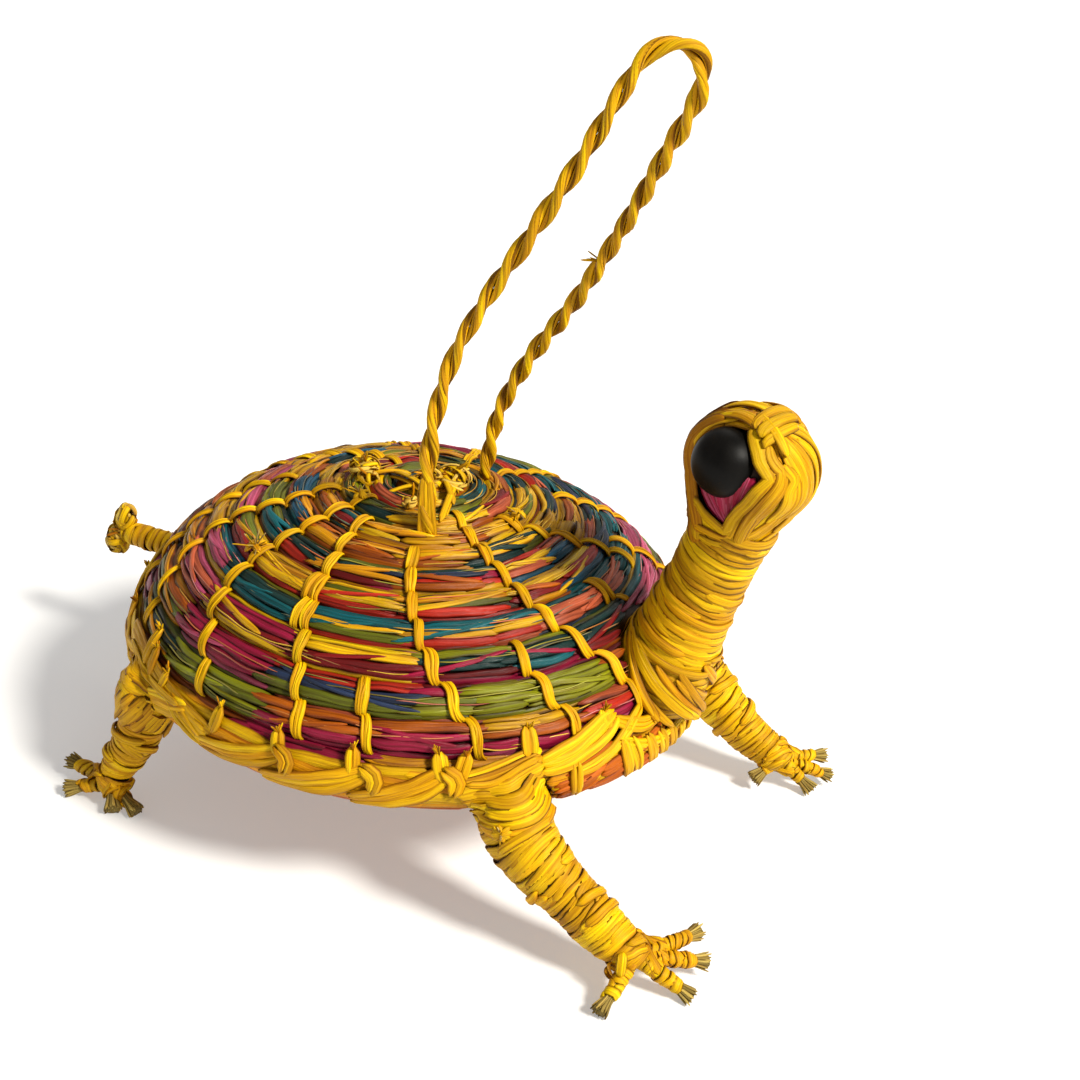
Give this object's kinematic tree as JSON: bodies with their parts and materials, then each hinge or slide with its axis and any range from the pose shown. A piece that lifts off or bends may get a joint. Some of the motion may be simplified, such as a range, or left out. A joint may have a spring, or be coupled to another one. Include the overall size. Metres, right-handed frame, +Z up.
{
  "type": "woven turtle ornament",
  "caption": "Coiled and stitched palm-fibre turtle with wrapped legs, neck and tail, seed eyes and a twisted hanging loop on its shell.",
  "frame": {"origin": "centre of the box round the turtle without its hanging loop, at floor level", "axes": "+X from tail to head, +Y to the turtle's left, +Z up; the loop leans towards +X"},
  "size_m": [0.174, 0.1222, 0.1651],
  "materials": {
    "strip_yellow": "dyed palm strip, satin",
    "strip_gold": "dyed palm strip, satin",
    "strip_teal": "dyed palm strip, satin",
    "strip_olive": "dyed palm strip, satin",
    "strip_red": "dyed palm strip, satin",
    "strip_pink": "dyed palm strip, satin",
    "strip_orange": "dyed palm strip, satin",
    "stitch_yellow": "dyed palm strip, satin",
    "wrap_yellow": "dyed palm strip, satin",
    "cord_yellow": "twisted palm fibre, satin",
    "fibre_khaki": "undyed cut fibre, matt",
    "fibre_pink": "dyed fibre, satin",
    "seed_black": "polished seed"
  },
  "bodies": {
    "shell": {"carapace_round_01": "strip_yellow", "carapace_round_02": "strip_olive", "carapace_round_03": "strip_gold", "carapace_round_04": "strip_orange", "carapace_round_05": "strip_olive", "carapace_round_06": "strip_red", "carapace_round_07": "strip_teal", "carapace_round_08": "strip_gold", "carapace_round_09": "strip_red", "carapace_round_10": "strip_teal", "carapace_round_11": "strip_pink", "carapace_round_12": "strip_orange", "plastron_round_01": "strip_orange", "plastron_round_02": "strip_gold", "plastron_round_03": "strip_orange", "plastron_round_04": "strip_gold", "plastron_round_05": "strip_orange", "plastron_round_06": "strip_gold", "rim_band": "strip_yellow", "crown_knot": "strip_yellow", "stitch_row_01": "stitch_yellow", "stitch_row_02": "stitch_yellow", "stitch_row_03": "stitch_yellow", "stitch_row_04": "stitch_yellow", "stitch_row_05": "stitch_yellow", "stitch_row_06": "stitch_yellow", "stitch_row_07": "stitch_yellow", "stitch_row_08": "stitch_yellow", "stitch_row_09": "stitch_yellow", "stitch_row_10": "stitch_yellow", "stitch_row_11": "stitch_yellow", "stitch_row_12": "stitch_yellow", "stitch_row_13": "stitch_yellow", "stitch_row_14": "stitch_yellow", "stitch_row_15": "stitch_yellow", "stitch_row_16": "stitch_yellow"},
    "neck": {"neck_wrap": "wrap_yellow", "head_core": "fibre_pink", "head_cover": "wrap_yellow", "eye_right": "seed_black", "eye_left": "seed_black"},
    "leg_front_right": {"leg_wrap_front_right": "wrap_yellow", "toe_wraps_front_right": "wrap_yellow", "toe_fibres_front_right": "fibre_khaki"},
    "leg_front_left": {"leg_wrap_front_left": "wrap_yellow", "toe_wraps_front_left": "wrap_yellow", "toe_fibres_front_left": "fibre_khaki"},
    "leg_rear_right": {"leg_wrap_rear_right": "wrap_yellow", "toe_wraps_rear_right": "wrap_yellow", "toe_fibres_rear_right": "fibre_khaki"},
    "leg_rear_left": {"leg_wrap_rear_left": "wrap_yellow", "toe_wraps_rear_left": "wrap_yellow", "toe_fibres_rear_left": "fibre_khaki"},
    "tail": {"tail_wrap": "wrap_yellow", "tail_tuft": "strip_yellow"},
    "loop": {"hanging_loop": "cord_yellow"}
  },
  "joints": [
    {"name": "neck_nod", "type": "hinge", "parent": "shell", "child": "neck", "pos_m": [0.0548, 0, 0.042], "axis": [0, 1, 0], "range_deg": [-8, 12]},
    {"name": "hip_front_right", "type": "hinge", "parent": "shell", "child": "leg_front_right", "pos_m": [0.046, -0.0404, 0.0256], "axis": [0, 1, 0], "range_deg": [-10, 10]},
    {"name": "hip_front_left", "type": "hinge", "parent": "shell", "child": "leg_front_left", "pos_m": [0.046, 0.0404, 0.0256], "axis": [0, 1, 0], "range_deg": [-10, 10]},
    {"name": "hip_rear_right", "type": "hinge", "parent": "shell", "child": "leg_rear_right", "pos_m": [-0.0354, -0.0492, 0.0256], "axis": [0, 1, 0], "range_deg": [-10, 10]},
    {"name": "hip_rear_left", "type": "hinge", "parent": "shell", "child": "leg_rear_left", "pos_m": [-0.0354, 0.0492, 0.0256], "axis": [0, 1, 0], "range_deg": [-10, 10]},
    {"name": "tail_wag", "type": "hinge", "parent": "shell", "child": "tail", "pos_m": [-0.0585, 0, 0.031], "axis": [0, 0, 1], "range_deg": [-15, 15]},
    {"name": "loop_swing", "type": "hinge", "parent": "shell", "child": "loop", "pos_m": [0.00775, -0.00425, 0.066], "axis": [-0.1216, 0.9901, 0.0695], "range_deg": [-25, 25]}
  ]
}
